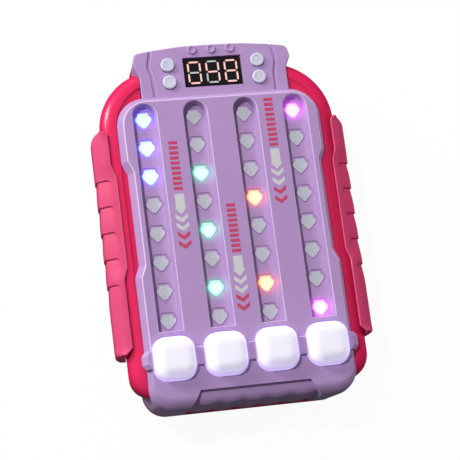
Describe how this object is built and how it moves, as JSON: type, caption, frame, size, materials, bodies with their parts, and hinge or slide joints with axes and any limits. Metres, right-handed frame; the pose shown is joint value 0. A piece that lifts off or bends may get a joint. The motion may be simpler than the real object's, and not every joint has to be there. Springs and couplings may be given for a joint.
{
  "type": "electronic bubble pop game",
  "caption": "Hand-held electronic bubble pop game with lit lens lanes, sprung light-up keys, side grips, a small display with round buttons and a battery bay in the back.",
  "frame": {"origin": "middle of the bounding box, on the flat back that it lies on", "axes": "+Z out of the face, +Y along the lanes towards the display, +X to the right as the player sees the face"},
  "size_m": [0.1176, 0.1644, 0.0365],
  "materials": {
    "lilac_abs": "moulded ABS, satin gloss",
    "crimson_abs": "moulded ABS, high gloss",
    "crimson_grip": "soft matt moulding",
    "clouded_lens": "clouded translucent polycarbonate",
    "white_key": "white translucent ABS",
    "grey_silicone": "grey translucent silicone",
    "black_abs": "black display face",
    "clouded_epoxy": "clouded epoxy light bars",
    "circuit_board": "green solder mask",
    "clear_silicone": "clear silicone dome",
    "zinc_steel": "zinc-plated steel",
    "cell_sleeve": "plain dark sleeve",
    "speaker_paper": "pressed paper cone",
    "red_sleeve": "PVC wire sleeve",
    "black_sleeve": "PVC wire sleeve"
  },
  "bodies": {
    "case": {"battery_1": "cell_sleeve", "battery_2": "cell_sleeve", "battery_3": "cell_sleeve", "battery_door": "crimson_abs", "battery_door_screw": "zinc_steel", "board_screw_1": "zinc_steel", "board_screw_2": "zinc_steel", "board_screw_3": "zinc_steel", "board_screw_4": "zinc_steel", "case_screw_1": "zinc_steel", "case_screw_2": "zinc_steel", "case_screw_3": "zinc_steel", "case_screw_4": "zinc_steel", "case_screw_5": "zinc_steel", "case_screw_6": "zinc_steel", "contact_link_left": "zinc_steel", "contact_link_right": "zinc_steel", "contact_minus": "zinc_steel", "contact_plus": "zinc_steel", "display_case": "black_abs", "display_digits": "clouded_epoxy", "face_panel": "lilac_abs", "key_boot_1": "clear_silicone", "key_boot_2": "clear_silicone", "key_boot_3": "clear_silicone", "key_boot_4": "clear_silicone", "lead_battery_minus": "black_sleeve", "lead_battery_plus": "red_sleeve", "lead_speaker_minus": "black_sleeve", "lead_speaker_plus": "red_sleeve", "left_grip": "crimson_grip", "lens_strip_1": "clouded_lens", "lens_strip_2": "clouded_lens", "lens_strip_3": "clouded_lens", "lens_strip_4": "clouded_lens", "main_board": "circuit_board", "rear_cover": "crimson_abs", "right_grip": "crimson_grip", "rim_frame": "crimson_abs", "speaker_basket": "zinc_steel", "speaker_cone": "speaker_paper", "speaker_magnet": "zinc_steel"},
    "key_1": {"key_cap_1": "white_key"},
    "key_2": {"key_cap_2": "white_key"},
    "key_3": {"key_cap_3": "white_key"},
    "key_4": {"key_cap_4": "white_key"},
    "button_1": {"round_button_1": "grey_silicone"},
    "button_2": {"round_button_2": "grey_silicone"},
    "button_3": {"round_button_3": "grey_silicone"},
    "button_4": {"round_button_4": "grey_silicone"}
  },
  "joints": [
    {"name": "key_press_1", "type": "slide", "parent": "case", "child": "key_1", "axis": [0, 0, -1], "range_m": [0, 0.002], "stiffness_N_per_m": 500, "springref_m": -0.0015, "deforming": ["key_boot_1"]},
    {"name": "key_press_2", "type": "slide", "parent": "case", "child": "key_2", "axis": [0, 0, -1], "range_m": [0, 0.002], "stiffness_N_per_m": 500, "springref_m": -0.0015, "deforming": ["key_boot_2"]},
    {"name": "key_press_3", "type": "slide", "parent": "case", "child": "key_3", "axis": [0, 0, -1], "range_m": [0, 0.002], "stiffness_N_per_m": 500, "springref_m": -0.0015, "deforming": ["key_boot_3"]},
    {"name": "key_press_4", "type": "slide", "parent": "case", "child": "key_4", "axis": [0, 0, -1], "range_m": [0, 0.002], "stiffness_N_per_m": 500, "springref_m": -0.0015, "deforming": ["key_boot_4"]},
    {"name": "button_press_1", "type": "slide", "parent": "case", "child": "button_1", "axis": [0, 0, -1], "range_m": [0, 0.0006], "stiffness_N_per_m": 800, "springref_m": -0.0005},
    {"name": "button_press_2", "type": "slide", "parent": "case", "child": "button_2", "axis": [0, 0, -1], "range_m": [0, 0.0006], "stiffness_N_per_m": 800, "springref_m": -0.0005},
    {"name": "button_press_3", "type": "slide", "parent": "case", "child": "button_3", "axis": [0, 0, -1], "range_m": [0, 0.0006], "stiffness_N_per_m": 800, "springref_m": -0.0005},
    {"name": "button_press_4", "type": "slide", "parent": "case", "child": "button_4", "axis": [0, 0, -1], "range_m": [0, 0.0006], "stiffness_N_per_m": 800, "springref_m": -0.0005}
  ]
}
